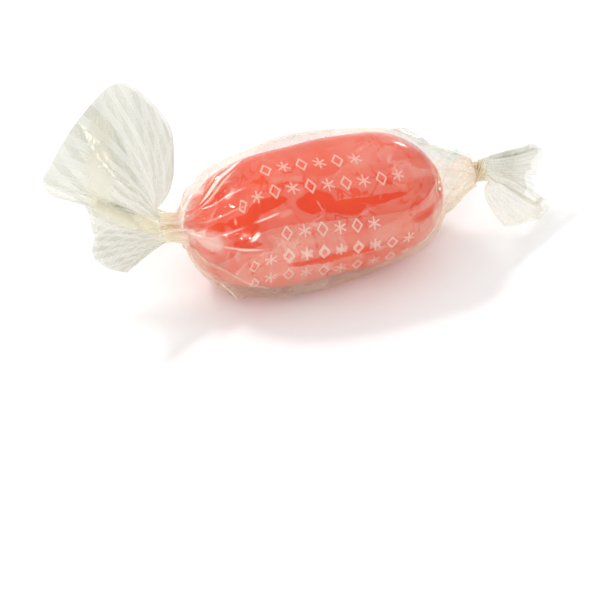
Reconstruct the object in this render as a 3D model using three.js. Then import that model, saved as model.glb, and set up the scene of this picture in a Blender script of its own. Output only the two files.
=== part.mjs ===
// An aniseed twist: a boiled sweet in a clear twist wrapper, lying on a table.
//
// The wrapper is one sheet of film, rolled round the sweet and twisted shut at both ends. Past each twist
// the film opens again into a pleated fan. It is modelled as one closed solid: a tube of film, filled, that
// runs from the cut edge of one fan, through its twist, round the sweet, and through the other twist to the
// other cut edge.
//
// Millimetres, +Z up. The sweet lies along X, and the origin is on the table under its centre.

import * as THREE from "three";

// ---- Driving dimensions ----

const SWEET_LENGTH = 32.2;
const SWEET_WIDTH = 17.5;
const SWEET_HEIGHT = 16;
const SWEET_CENTRE_Z = 7.95; // a little low, so that the film under it lies flat on the table

// The film round the sweet.
const FILM_GAP = 0.25; // between the sweet and the film where it lies close
const JOIN_ROUNDING = 0.8; // where the film leaves the sweet for the cone that leads to a twist
const JOIN_EXCESS = 0.16; // what that rounding adds to the film's size
const CREASE_HEIGHT = 0.66; // of the creases that run from the twists over the sweet
const CREASE_FADE = 3; // the last stretch before a twist, where the creases get lower
const CREASE_LEFT = 0.4; // share of their height that they keep at the twist
const SMOOTH_MIDDLE = 3; // half the length of the film's middle, which no crease reaches

// The pockets where the film stands off the sweet: x and angle of the middle, how far each reaches along
// and round, and its height.
const POCKETS = [
  { x: -1, angle: 214, along: 7, around: 26, height: 1.0 },
  { x: 14.5, angle: 195, along: 4, around: 45, height: 1.0 },
  { x: -4, angle: 44, along: 6.5, around: 24, height: 0.7 },
];

// The gathers of a twist: two rows of pleats, each with its number round the film, its phase and its share.
const GATHER_ROWS = [
  { count: 9, phase: 0.7, share: 0.6 },
  { count: 14, phase: 2.1, share: 0.4 },
];
const TWIST_GATHER = 0.28; // depth of the gathers in a twist, as a share of its radius
const GATHER_LEAD = 0.15; // share of a twist's length by which the gathers begin before it

// The fans.
const FAN_GAP = 0.9; // between the two layers of a fan
const FAN_CLOSING = 1 / 3; // share of a fan's length over which its layers close up
const FAN_LEAN_HALFWAY = 0.4; // share of a pleat line's lean that it has half-way
const FAN_PLEAT = 0.3; // height of the pleats
const FAN_PLEATS = 7;
const FAN_PLEAT_PHASE = 1;
const FAN_EDGE = 0.25; // how far in from its two sides a fan is flatter

// Both fans lie nearly in planes that face this way: forwards, and by these degrees to the left and up.
const FAN_FACES = { leftwards: 20.5, upwards: 38 };

// Each end: where the film enters and leaves its twist, the radius there, how steeply and for how far the
// film widens towards the sweet, how blunt the sweet is (2 is an ellipsoid), how many times the film is
// turned (and what share of that it has turned by the start of the twist), and the fan. Each pleat line of
// a fan leaves the twist at `angle` in the fan's own plane, from 0, straight on, to 90, straight up. It is
// `reach` long, ends `lean` in front of the plane, and bends by `bend` half-way.
const LEFT_END = {
  twistStart: new THREE.Vector3(-16.7, 0, 9.8),
  twistEnd: new THREE.Vector3(-19.4, 0, 10.9),
  radius: 2.15,
  widening: 1.0,
  coneLength: 5,
  rounding: 3.2,
  turns: -0.3,
  earlyTurn: 0.4,
  pleatLines: [
    { angle: -41, reach: 6.8, lean: 3.5, bend: -15 },
    { angle: -33, reach: 7.5, lean: 5, bend: -13 },
    { angle: -24, reach: 8, lean: 6.5, bend: -6 },
    { angle: -13, reach: 8.1, lean: 7.5, bend: -3 },
    { angle: -2, reach: 8, lean: 7, bend: 0 },
    { angle: 10, reach: 7.6, lean: 5, bend: 3 },
    { angle: 29, reach: 8.9, lean: 3, bend: 2 },
    { angle: 31, reach: 11.8, lean: 1.5, bend: 2 },
    { angle: 33, reach: 14.8, lean: 1, bend: 2 },
    { angle: 43, reach: 14.9, lean: 0.5, bend: -1 },
    { angle: 56, reach: 15.4, lean: 0.2, bend: 0 },
    { angle: 68, reach: 16.2, lean: -0.3, bend: 0 },
    { angle: 79, reach: 17.3, lean: -1, bend: 1 },
    { angle: 85, reach: 17.8, lean: -1.8, bend: 3 },
    { angle: 93, reach: 16.4, lean: -2.4, bend: 4 },
    { angle: 101, reach: 14.0, lean: -3, bend: 5 },
    { angle: 110, reach: 10.6, lean: -3.5, bend: 7 },
  ],
};
const RIGHT_END = {
  twistStart: new THREE.Vector3(20.3, 0, 8.3),
  twistEnd: new THREE.Vector3(22.1, 0, 8.2),
  radius: 1.45,
  widening: 0.41,
  coneLength: 8,
  rounding: 3.5,
  turns: 0.5,
  earlyTurn: 0.4,
  pleatLines: [
    { angle: -84, reach: 7.1, lean: -2.5, bend: -18 },
    { angle: -71, reach: 7.7, lean: -3.5, bend: -10 },
    { angle: -56, reach: 8.4, lean: -4.5, bend: -5 },
    { angle: -45, reach: 8.8, lean: -5, bend: 0 },
    { angle: -40, reach: 6.2, lean: -6.5, bend: 4 },
    { angle: -20, reach: 5.6, lean: -6.5, bend: 0 },
    { angle: -8, reach: 6.2, lean: -6, bend: 5 },
    { angle: 10, reach: 7.1, lean: -5, bend: 8 },
    { angle: 15, reach: 6, lean: -4.5, bend: 12 },
  ],
};

// How finely the surface is divided.
const AROUND = 84; // points round the film, an even number
const ALONG_BODY = 34;
const ALONG_TWIST = 7;
const ALONG_FAN = 11;

// ---- Small helpers ----

const { lerp, clamp, smoothstep, degToRad, radToDeg, euclideanModulo } = THREE.MathUtils;
const TURN = 2 * Math.PI;
const HALF_TURN = 180;

// A smooth maximum of two lengths, rounded over `rounding`.
const smoothMax = (a, b, rounding) => (a + b + Math.hypot(a - b, rounding)) / 2;

const bell = (distance, spread) => Math.exp(-((distance / spread) ** 2));

// The shortest way between two angles, in degrees.
const angleBetween = (a, b) => Math.abs(euclideanModulo(a - b + HALF_TURN, 2 * HALF_TURN) - HALF_TURN);

// The curve of gathered film, from -1 to 1: sharp crests at whole turns of `phase`, and round hollows.
const crest = (phase) => 1 - 2 * Math.abs(Math.sin(phase / 2));

// The gathers at share v of the way round, from -1 to 1.
function gathers(v) {
  return GATHER_ROWS.reduce((sum, row) => sum + row.share * crest(row.count * TURN * v + row.phase), 0);
}

// A value of the pleat lines, read smoothly at share t across the fan.
function acrossFan(lines, name, t) {
  const place = clamp(t, 0, 1) * (lines.length - 1);
  const i = Math.min(Math.floor(place), lines.length - 2);
  const at = (j) => lines[clamp(j, 0, lines.length - 1)][name];
  const w = place - i;
  const [p, q, r, s] = [at(i - 1), at(i), at(i + 1), at(i + 2)];
  return q + (w / 2) * (r - p + w * (2 * p - 5 * q + 4 * r - s + w * (3 * (q - r) + s - p)));
}

// ---- The film round the sweet ----

const endNear = (x) => (x < 0 ? LEFT_END : RIGHT_END);

// How wide the sweet is at x, as a share of its middle.
function sweetShare(x) {
  return Math.sqrt(Math.max(0, 1 - Math.abs((2 * x) / SWEET_LENGTH) ** endNear(x).rounding));
}

// The top, bottom and half width of the film at x, where it lies close or narrows to the nearer twist.
function closeFilm(x) {
  const end = endNear(x);
  const fromTwist = Math.min(Math.abs(end.twistStart.x - x), end.coneLength);
  const cone = end.radius + end.widening * fromTwist;
  const coneZ = lerp(end.twistStart.z, SWEET_CENTRE_Z, fromTwist / end.coneLength);
  const halfSweet = (SWEET_HEIGHT / 2) * sweetShare(x) + FILM_GAP;
  const halfSweetWidth = (SWEET_WIDTH / 2) * sweetShare(x) + FILM_GAP;
  const join = (sweet, narrowed) => smoothMax(sweet, narrowed, JOIN_ROUNDING) - JOIN_EXCESS;
  return {
    top: join(SWEET_CENTRE_Z + halfSweet, coneZ + cone),
    bottom: -join(halfSweet - SWEET_CENTRE_Z, cone - coneZ),
    halfWidth: join(halfSweetWidth, cone),
  };
}

// How far creases and pockets lift the film, at share v of the way round and at this angle in degrees.
function filmLift(x, v, angle) {
  const end = endNear(x);
  const fromTwist = Math.abs(end.twistStart.x) - Math.abs(x);
  const near = smoothstep(Math.abs(x), SMOOTH_MIDDLE, Math.abs(end.twistStart.x));
  const fading = Math.min(1, fromTwist / CREASE_FADE + CREASE_LEFT);
  let lift = CREASE_HEIGHT * near * fading * ((1 + gathers(v)) / 2);
  for (const p of POCKETS) {
    lift += p.height * bell(x - p.x, p.along) * bell(angleBetween(angle, p.angle), p.around);
  }
  return lift;
}

// Angles round the film go from 0 underneath, through 90 at the front and 180 on top, to 270 behind.
function bodyPoint(x, v) {
  const end = endNear(x);
  const near = smoothstep(Math.abs(x), SMOOTH_MIDDLE, Math.abs(end.twistStart.x));
  const angle = TURN * (v + end.earlyTurn * end.turns * near ** 4);
  const { top, bottom, halfWidth } = closeFilm(x);
  const lift = filmLift(x, v, radToDeg(angle));
  const middle = (top + bottom) / 2;
  const halfHeight = (top - bottom) / 2 + lift;
  return new THREE.Vector3(x, -(halfWidth + lift) * Math.sin(angle), middle - halfHeight * Math.cos(angle));
}

// ---- The twists ----

// The directions of a fan: out along the twist, up, and towards the side that it faces.
function fanAxes(end) {
  const front = new THREE.Vector3(0, -1, 0)
    .applyAxisAngle(new THREE.Vector3(1, 0, 0), -degToRad(FAN_FACES.upwards))
    .applyAxisAngle(new THREE.Vector3(0, 0, 1), -degToRad(FAN_FACES.leftwards));
  const side = Math.sign(end.twistEnd.x);
  const out = new THREE.Vector3(side, 0, 0);
  out.addScaledVector(front, -out.dot(front)).normalize();
  const up = new THREE.Vector3().crossVectors(out, front).multiplyScalar(-side);
  return { out, up, front };
}

// The ring of film at share k of the way through a twist, turning as it goes.
function twistPoint(end, k, v) {
  const { up, front } = fanAxes(end);
  const down = new THREE.Vector3(0, 0, -1).lerp(up.clone().negate(), k);
  const forwards = new THREE.Vector3(0, -1, 0).lerp(front, k);
  const turned = TURN * (v + end.turns * lerp(end.earlyTurn, 1, k));
  const depth = TWIST_GATHER * Math.sin(Math.PI * Math.min(1, k + GATHER_LEAD));
  const radius = end.radius * (1 + depth * gathers(v));
  return new THREE.Vector3()
    .lerpVectors(end.twistStart, end.twistEnd, k)
    .addScaledVector(down, radius * Math.cos(turned))
    .addScaledVector(forwards, radius * Math.sin(turned));
}

// ---- The fans ----

// The middle of a fan between its two layers: k goes from the twist to the cut edge, and t from the lowest
// pleat line to the highest.
function fanMiddle(end, axes, k, t) {
  const read = (name) => acrossFan(end.pleatLines, name, t);
  const place = (angle, reach, lean) =>
    end.twistEnd
      .clone()
      .addScaledVector(axes.out, reach * Math.cos(degToRad(angle)))
      .addScaledVector(axes.up, reach * Math.sin(degToRad(angle)))
      .addScaledVector(axes.front, lean);
  const start = end.twistEnd.clone().addScaledVector(axes.up, -end.radius * Math.cos(Math.PI * t));
  const edge = place(read("angle"), read("reach"), read("lean"));
  const halfWay = place(read("angle") + read("bend"), read("reach") / 2, read("lean") * FAN_LEAN_HALFWAY);
  const pull = halfWay.multiplyScalar(2).addScaledVector(start, -0.5).addScaledVector(edge, -0.5);
  return new THREE.QuadraticBezierCurve3(start, pull, edge).getPoint(k);
}

// The direction straight out of a fan's face.
function fanNormal(end, axes, k, t) {
  const step = 0.01;
  const at = (atK, atT) => fanMiddle(end, axes, clamp(atK, 0, 1), clamp(atT, 0, 1));
  const alongLine = at(k + step, t).sub(at(k - step, t));
  const acrossLines = at(k, t + step).sub(at(k, t - step));
  const normal = new THREE.Vector3().crossVectors(alongLine, acrossLines).normalize();
  return normal.dot(axes.front) < 0 ? normal.negate() : normal;
}

// The first half of the way round, as turned by the twist, is the fan's front layer. The second is its back.
function fanPoint(end, axes, k, v) {
  const turned = euclideanModulo(v + end.turns, 1);
  const inFront = turned <= 0.5;
  const t = inFront ? 2 * turned : 2 - 2 * turned;
  const apart = Math.sin(Math.PI * t);
  const halfGap = (FAN_GAP / 2) * Math.sqrt(apart);
  const opening = lerp(end.radius * apart, halfGap, Math.min(1, k / FAN_CLOSING));
  const pleat = FAN_PLEAT * Math.sqrt(k) * crest(FAN_PLEATS * TURN * t + FAN_PLEAT_PHASE);
  const offset = (inFront ? opening : -opening) + pleat * Math.min(1, apart / FAN_EDGE);
  return fanMiddle(end, axes, k, t).addScaledVector(fanNormal(end, axes, k, t), offset);
}

// ---- The solid ----

const ring = (point) => Array.from({ length: AROUND }, (_, i) => point(i / AROUND));

function fanRings(end) {
  const axes = fanAxes(end);
  const ringAt = (k) => ring((v) => fanPoint(end, axes, k, v));
  return Array.from({ length: ALONG_FAN }, (_, i) => ringAt((i + 1) / ALONG_FAN));
}

function twistRings(end) {
  const ringAt = (k) => ring((v) => twistPoint(end, k, v));
  return Array.from({ length: ALONG_TWIST }, (_, i) => ringAt(i / (ALONG_TWIST - 1)));
}

// The rings round the sweet are closer together near the twists.
function bodyRings() {
  return Array.from({ length: ALONG_BODY }, (_, i) => {
    const share = (i + 0.5) / ALONG_BODY;
    const eased = (share + (1 - Math.cos(Math.PI * share)) / 2) / 2;
    const x = lerp(LEFT_END.twistStart.x, RIGHT_END.twistStart.x, eased);
    return ring((v) => bodyPoint(x, v));
  });
}

// Rings of points round the film, from the cut edge of the left fan to that of the right one.
function filmRings() {
  const left = [...twistRings(LEFT_END), ...fanRings(LEFT_END)].reverse();
  return [...left, ...bodyRings(), ...twistRings(RIGHT_END), ...fanRings(RIGHT_END)];
}

// The number of point i of a ring, counted on past either end of the ring.
const pointNumber = (ringNumber, i) => ringNumber * AROUND + euclideanModulo(i, AROUND);

// The faces between each ring and the next.
function sideFaces(ringCount) {
  const faces = [];
  for (let r = 0; r + 1 < ringCount; r++) {
    for (let i = 0; i < AROUND; i++) {
      const [a, b] = [pointNumber(r, i), pointNumber(r, i + 1)];
      const [c, d] = [pointNumber(r + 1, i + 1), pointNumber(r + 1, i)];
      faces.push([a, c, b], [a, d, c]);
    }
  }
  return faces;
}

// The faces of a cut edge, which join a fan's front layer to its back layer, from its lowest point up.
function endFaces(r, end) {
  const lowest = Math.round(-end.turns * AROUND);
  const faces = [];
  for (let i = 0; i < AROUND / 2; i++) {
    const [front, nextFront] = [pointNumber(r, lowest + i), pointNumber(r, lowest + i + 1)];
    const [back, nextBack] = [pointNumber(r, lowest - i), pointNumber(r, lowest - i - 1)];
    if (i > 0) faces.push([front, nextFront, back]);
    if (i + 1 < AROUND / 2) faces.push([nextFront, nextBack, back]);
  }
  return faces;
}

// The closed surface through the rings, flat where it lies on the table.
function solidThrough(rings) {
  const points = rings.flat();
  for (const p of points) p.z = Math.max(0, p.z);
  const rightEdge = endFaces(rings.length - 1, RIGHT_END).map((face) => face.reverse());
  const faces = [...sideFaces(rings.length), ...endFaces(0, LEFT_END), ...rightEdge];
  const geometry = new THREE.BufferGeometry().setFromPoints(points);
  geometry.setIndex(faces.flat());
  return geometry;
}

const film = new THREE.MeshStandardMaterial({ color: 0xe8604a, roughness: 0.15, metalness: 0 });
const wrappedSweet = new THREE.Mesh(solidThrough(filmRings()), film);
wrappedSweet.name = "wrapped_sweet";

const part = new THREE.Group();
part.add(wrappedSweet);

export default part;
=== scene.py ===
"""An aniseed twist: a red boiled sweet in a clear, crisp film that is twisted shut at both ends.

The film is one spiral sheet, 1.4 turns round the sweet. It has the form and the named sizes of the solid
wrapped_sweet, and adds the fine creases, the overlap and the print. Lengths are in millimetres until a mesh
is made. The small fan points to +X, the front of the sweet faces -Y, and +Z is up. Angles round the film go
from 0 underneath, through 90 at the front and 180 on top, to 270 behind.
"""

import math

import bmesh
import bpy
import numpy as np
from mathutils import Matrix, Vector


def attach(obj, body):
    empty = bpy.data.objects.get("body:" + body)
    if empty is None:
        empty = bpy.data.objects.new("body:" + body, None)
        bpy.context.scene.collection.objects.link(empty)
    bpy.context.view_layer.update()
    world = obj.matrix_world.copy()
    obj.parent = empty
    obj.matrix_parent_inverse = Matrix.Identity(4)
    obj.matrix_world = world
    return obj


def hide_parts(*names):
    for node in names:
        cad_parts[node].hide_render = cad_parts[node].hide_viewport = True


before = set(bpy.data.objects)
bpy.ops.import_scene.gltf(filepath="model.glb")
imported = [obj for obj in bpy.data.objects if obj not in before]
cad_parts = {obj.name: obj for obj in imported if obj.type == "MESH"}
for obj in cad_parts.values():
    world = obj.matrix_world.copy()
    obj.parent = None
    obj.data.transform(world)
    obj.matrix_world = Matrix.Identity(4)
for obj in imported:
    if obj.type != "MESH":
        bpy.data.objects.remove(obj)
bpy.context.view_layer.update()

MM = 0.001
TURN = 2 * math.pi

# ---- Sizes that the solid has too ----

SWEET_LENGTH = 32.2
SWEET_WIDTH = 17.5
SWEET_HEIGHT = 16
SWEET_CENTRE_Z = 7.95

# The film round the sweet
FILM_GAP = 0.25  # between the sweet and the film where it lies close
JOIN_ROUNDING = 0.8  # where the film leaves the sweet for the cone that leads to a twist
JOIN_EXCESS = 0.16  # what that rounding adds to the film's size
CREASE_HEIGHT = 0.66  # of the creases that run from the twists over the sweet
CREASE_FADE = 3  # the last stretch before a twist, where creases get lower
CREASE_LEFT = 0.4  # share of their height that they keep at the twist
SMOOTH_MIDDLE = 3  # half the length of the film's middle, which no crease from a twist reaches

# The gathers of a twist: number round the film, phase and share
GATHER_ROWS = ((9, 0.7, 0.6), (14, 2.1, 0.4))
TWIST_GATHER = 0.28  # depth of the gathers in a twist, as a share of its radius
GATHER_LEAD = 0.15  # share of a twist's length by which the gathers begin before it

# The fans
FAN_GAP = 0.9  # between the two layers of a fan
FAN_CLOSING = 1 / 3  # share of a fan's length over which its layers close up
FAN_LEAN_HALFWAY = 0.4  # share of a pleat line's lean that it has half-way
FAN_PLEAT = 0.3  # height of the pleats
FAN_PLEATS = 7
FAN_PLEAT_PHASE = 1
FAN_EDGE = 0.25  # how far in from its two sides a fan is flatter

# Pockets where the film stands off the sweet: x and angle of the middle, spread along and round, and height
POCKETS = ((-1, 214, 7, 26, 1.0), (14.5, 195, 4, 45, 1.0), (-4, 44, 6.5, 24, 0.7))

# The camera's directions. Both fans lie nearly in planes that face it.
AZIMUTH = math.radians(-20.5)
ELEVATION = math.radians(38)
BACK_TO_CAMERA = np.array(
    [
        math.sin(AZIMUTH) * math.cos(ELEVATION),
        -math.cos(AZIMUTH) * math.cos(ELEVATION),
        math.sin(ELEVATION),
    ]
)
CAMERA_RIGHT = np.array([math.cos(AZIMUTH), math.sin(AZIMUTH), 0.0])
CAMERA_UP = np.cross(BACK_TO_CAMERA, CAMERA_RIGHT)


class End:
    """One end of the wrapper: its twist, the cone that leads to it, and its fan.

    Each of pleat_lines runs from the twist to the fan's cut edge. It has the direction of its end, in degrees
    from straight on, 0, to straight up, 90, then its reach, how far in front of the fan's plane it ends, and
    by how many degrees it bends aside half-way.
    Each of folds is a place where the fan's film is doubled. It has two ends, each across and up from the
    twist, a half-width, and how milky the film is there.
    Each of tint has a share of the way across the fan, from its lowest pleat line to its highest, and how
    tinted the film is there. Paling is the share of its tint that the film has lost at the cut edge.
    """

    def __init__(
        self,
        twist_start,
        twist_end,
        radius,
        widening,
        cone_length,
        rounding,
        turns,
        early_turn,
        pleat_lines,
        folds,
        tint,
        paling,
        twist_rings,
        fan_rings,
    ):
        self.twist_start = np.array(twist_start, float)
        self.twist_end = np.array(twist_end, float)
        self.radius = radius
        self.widening = widening
        self.cone_length = cone_length
        self.rounding = rounding
        self.turns = turns
        self.early_turn = early_turn
        self.pleat_lines = np.array(pleat_lines, float)
        self.folds = folds
        self.tint = tint
        self.paling = paling
        self.twist_rings = twist_rings
        self.fan_rings = fan_rings
        side = math.copysign(1, twist_end[0])
        self.front = BACK_TO_CAMERA
        out = np.array([side, 0.0, 0.0])
        out -= out.dot(self.front) * self.front
        self.out = out / np.linalg.norm(out)
        self.up = -side * np.cross(self.out, self.front)


LEFT_END = End(
    twist_start=(-16.7, 0, 9.8),
    twist_end=(-19.4, 0, 10.9),
    radius=2.15,
    widening=1.0,
    cone_length=5,
    rounding=3.2,
    turns=-0.3,
    early_turn=0.4,
    pleat_lines=(
        (-41, 6.8, 3.5, -15),
        (-33, 7.5, 5, -13),
        (-24, 8, 6.5, -6),
        (-13, 8.1, 7.5, -3),
        (-2, 8, 7, 0),
        (10, 7.6, 5, 3),
        (29, 8.9, 3, 2),
        (31, 11.8, 1.5, 2),
        (33, 14.8, 1, 2),
        (43, 14.9, 0.5, -1),
        (56, 15.4, 0.2, 0),
        (68, 16.2, -0.3, 0),
        (79, 17.3, -1, 1),
        (85, 17.8, -1.8, 3),
        (93, 16.4, -2.4, 4),
        (101, 14.0, -3, 5),
        (110, 10.6, -3.5, 7),
    ),
    folds=(
        (6.9, 4.7, 5.5, 2.8, 1.0, 0.9),
        (5.5, 2.8, 2.7, 0.9, 1.0, 1.0),
        (2.7, 0.9, 0.2, -0.2, 1.0, 1.0),
        (4.4, 13.0, 5.4, 9.5, 1.5, 0.4),
        (5.4, 9.5, 6.3, 5.0, 1.7, 0.6),
    ),
    tint=((0, 0.45), (0.28, 0.6), (0.42, 0.35), (0.6, 0.4), (0.66, 1), (1, 1)),
    paling=0,
    twist_rings=34,
    fan_rings=60,
)
RIGHT_END = End(
    twist_start=(20.3, 0, 8.3),
    twist_end=(22.1, 0, 8.2),
    radius=1.45,
    widening=0.41,
    cone_length=8,
    rounding=3.5,
    turns=0.5,
    early_turn=0.4,
    pleat_lines=(
        (-84, 7.1, -2.5, -18),
        (-71, 7.7, -3.5, -10),
        (-56, 8.4, -4.5, -5),
        (-45, 8.8, -5, 0),
        (-40, 6.2, -6.5, 4),
        (-20, 5.6, -6.5, 0),
        (-8, 6.2, -6, 5),
        (10, 7.1, -5, 8),
        (15, 6, -4.5, 12),
    ),
    folds=(),
    tint=((0, 0.4), (0.45, 0.4), (0.55, 0.95), (1, 1)),
    paling=0.55,
    twist_rings=22,
    fan_rings=42,
)

# ---- Sizes of the film sheet ----

FILM_ROUND = 55.0  # of film for one turn round the sweet
FIRST_TURN = -0.07  # where the inner edge lies, in turns from underneath, towards the front and up
LAST_TURN = 1.335  # where the outer edge lies, along the front
LAYER_STEP = 0.14  # between one turn of film and the next
LAYERS_INSET = 0.1  # how far inside the solid's surface the innermost film lies
LAYERS_IN_TWIST = 0.5  # share of the step between layers that is left in a twist
SLANT = -0.8  # degrees that the film turns for each mm along the sweet
POINTS_ROUND = 340
BODY_RINGS = 124
TABLE_GAP = 0.02  # between the table and the film
LAYERS_PRESSED = 0.1  # share of the step between layers that is left where the sweet's weight rests on them

# Fine gathers: number round the film, phase and share, then their heights on the sweet and in a twist
FINE_GATHER_ROWS = ((23, 1.3, 0.5), (37, 0.4, 0.3), (51, 0, 0.2))
FINE_GATHER = 0.15
FINE_GATHER_SWAY = 0.004  # in turns, to either side along the sweet
FINE_TWIST_GATHER = 0.06

# Deep folds that close a twist: number round it, phase, depth as a share of its radius, and sharpness
TWIST_FOLDS = 9
TWIST_FOLD_PHASE = 0.6
TWIST_FOLD_DEPTH = 0.85
TWIST_FOLD_SHARPNESS = 8

# Slack film: how far it stands off the sweet, and how much that varies
SLACK = 0.16
SLACK_VARIES = 0.12

# Crumples: their height at the middle of the film, and what is added to it at a twist
CRUMPLE = 0.05
CRUMPLE_NEAR_TWIST = 0.07
# Heading in radians, length of one and share of the height
CRUMPLE_ROWS = ((0.35, 7.5, 1.0), (1.25, 5.6, 0.7), (2.4, 6.4, 0.8), (1.9, 3.7, 0.4))
CRUMPLE_BEND = 2.2

# Clinging film: shares of its lift and of its crumples that it loses, and how far it is drawn in
CLING_FLATTENS = 0.85
CLING_SMOOTHS = 0.6
CLING_DRAWS_IN = 0.1
LOOSE_OFF_SWEET = 0.3  # added to the height of film that doesn't cling, to tell the two apart

# The free edge on the front: how wide a strip lifts, in turns, how far, and how much that varies
EDGE_STRIP = 0.05
EDGE_LIFT = 0.22
EDGE_LIFT_VARIES = 0.16
EDGE_WAVE = 0.7  # radians for each mm along the edge
EDGE_WAVE_PHASE = 1

# The fans' fine pleats, which sway a little on their way to the cut edge, and their crumples
FINE_PLEATS = 13
FINE_PLEAT = 0.07
FINE_PLEAT_LOST = 0.5  # share of their height that they lose by the cut edge
FINE_PLEAT_PHASE = 2  # of the front layer, and as much the other way in the back layer
FINE_PLEAT_SWAY = 0.6
FINE_PLEAT_SWAYS = 5
FAN_CRUMPLE = 0.1
FAN_FACES_FRONT = 0.3  # share of a fan's length over which its layers take up their own slope

# How gathered the film is, which makes it milky: from so far off the middle up to a twist, and at a cut edge
CONE_BEGINS = 13
CONE_GATHERED = 0.75
FAN_GATHERED = 0.2
AWAY_FROM_SWEET = 0.7  # how far off the sweet the film of the twists and fans counts as

# Tint of a fan's film: its share at the twist, and over what distance from the twist it grows and then pales
TINT_AT_TWIST = 0.45
TINT_GROWS = (0.5, 4)
TINT_PALES = (3, 6)
FOLD_FADES = (0.55, 1.25)  # in half-widths of a fold, from its middle
MILKY_FADES = (0.5, 1.2)  # in spreads of a milky place, from its middle

# The place of each point on the flat film, kept as UV
FILM_PLACE = "film_mm"
UV_MM = 100  # of film for a whole step of UV
UV_MIDDLE = 0.5  # of the film's length

# Creases on the body: from x and angle to x and angle, height, half-width, and how white the crest is. That
# white is partly the whitening of creased film and partly a painted highlight.
CREASES = (
    (-15.2, 188, -11.5, 212, 0.35, 0.9, 0.9),
    (-15.0, 172, -8.0, 195, 0.5, 1.2, 1.0),
    (-15.2, 165, -9.6, 186, 0.3, 0.9, 0.7),
    (-14.6, 176, -10.0, 178, 0.25, 0.8, 0.5),
    (-15.0, 160, -9.0, 165, 0.3, 1.0, 0.6),
    (-16.0, 140, -9.0, 150, 0.35, 1.1, 0.5),
    (-14.2, 123, -10.8, 130, 0.3, 0.7, 0.6),
    (-9.8, 132, -6.4, 136, 0.28, 0.7, 0.75),
    (-16.0, 112, -9.0, 108, 0.45, 1.3, 0.6),
    (-10.6, 116, -9.4, 124, 0.15, 0.6, 1.0),
    (-3.5, 122, -1.2, 127, 0.22, 0.8, 0.45),
    (-1.3, 128, -1.8, 140, 0.2, 0.8, 0.4),
    (-16.0, 88, -7.0, 62, 0.45, 1.4, 0.5),
    (-16.0, 52, -11.0, 36, 0.5, 1.4, 0.8),
    (-16.5, 25, -8.0, 14, 0.4, 1.4, 0.5),
    (-16.5, 250, -7.0, 262, 0.45, 1.5, 0.6),
    (-16.5, 300, -9.0, 315, 0.4, 1.3, 0.5),
    (19.0, 182, 12.5, 186, 0.4, 1.2, 0.4),
    (19.0, 165, 12.0, 176, 0.3, 1.0, 0.35),
    (19.5, 110, 15.0, 114, 0.35, 1.1, 0.5),
    (14.0, 156, 13.8, 110, 0.35, 0.8, 0.5),
    (14.7, 133, 14.3, 129, 0.1, 0.4, 1.0),
    (14.3, 124, 14.7, 120, 0.1, 0.4, 1.0),
    (19.0, 85, 9.0, 76, 0.4, 1.4, 0.5),
    (19.0, 40, 10.0, 30, 0.35, 1.3, 0.5),
    (19.0, 225, 9.5, 238, 0.4, 1.4, 0.6),
    (19.0, 285, 10.0, 296, 0.4, 1.3, 0.5),
    (7.5, 196, 2.0, 170, 0.14, 0.9, 0.3),
    (9.5, 176, 5.0, 152, 0.14, 0.9, 0.3),
    (-3.0, 160, 2.5, 148, 0.14, 0.9, 0.3),
)
CREASE_SETS = 3  # neighbours are in different sets, so that each keeps its own crest where they meet
CREASE_REACH = 0.8  # from a crest, for the white line on it, which is partly a painted highlight
CREASE_RUN_ON = 0.15  # share of its length by which a crease runs on past both ends
CREASE_TAPER = 0.35  # share of its length over which it fades there
LEAST_GIRTH = 0.4  # of the film near a twist, as a share of the sweet's

# Where the film clings to the sweet: x and angle of the middle, and spread along and round
CLINGS = (
    (-11.8, 132, 3.6, 12),
    (-7.5, 146, 2.6, 5),
    (-2.4, 138, 2.0, 7),
    (4.5, 129, 5.5, 4.5),
    (-13.5, 170, 2.2, 9),
    (-11.8, 202, 2.2, 8),
    (14.8, 148, 0.8, 8),
    (-11.4, 113, 2.4, 5),
    (-14.5, 44, 2.0, 6),
    (11, 104, 2, 6),
    (14.2, 120, 1.0, 14),
    (0, 88, 6, 4),
    (4, 270, 8, 14),
    (-8, 250, 4, 8),
)

# Where the film is crumpled and milky: x and angle of the middle, spread along and round, and how milky
MILKY = (
    (-15.4, 116, 2.4, 22, 1.0),
    (-13.6, 191, 2.0, 7, 0.8),
    (-10.6, 194, 2.4, 5, 0.75),
    (14.4, 160, 1.3, 12, 0.8),
    (6, 172, 6, 18, 0.42),
    (-3, 176, 5, 12, 0.3),
    (13.8, 95, 1.6, 22, 0.5),
    (11.0, 149, 4.4, 13, 0.6),
    (6.5, 100, 5.0, 11, 0.35),
    (-6.0, 108, 4.0, 7, 0.3),
    (-14.5, 18, 2.2, 12, 0.6),
    (1, 56, 9, 10, 0.3),
    (-6, 230, 6, 12, 0.3),
    (9, 215, 5, 12, 0.35),
    (3, 300, 8, 12, 0.35),
)

# ---- Small helpers ----


def lerp(a, b, w):
    return a + (b - a) * w


def smoothstep(x, low, high):
    t = np.clip((x - low) / (high - low), 0, 1)
    return t * t * (3 - 2 * t)


def smooth_max(a, b, rounding):
    return (a + b + np.hypot(a - b, rounding)) / 2


def bell(distance, spread):
    return np.exp(-((distance / spread) ** 2))


def signed_angle(a, b):
    """The shortest way from angle b to angle a, in degrees."""
    return np.mod(a - b + 180, 360) - 180


def crest(phase):
    """Gathered film: sharp crests at whole turns of phase, and round hollows between, from -1 to 1."""
    return 1 - 2 * np.abs(np.sin(phase / 2))


def gathers(v, rows=GATHER_ROWS):
    return sum(share * crest(count * TURN * v + phase) for count, phase, share in rows)


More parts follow.
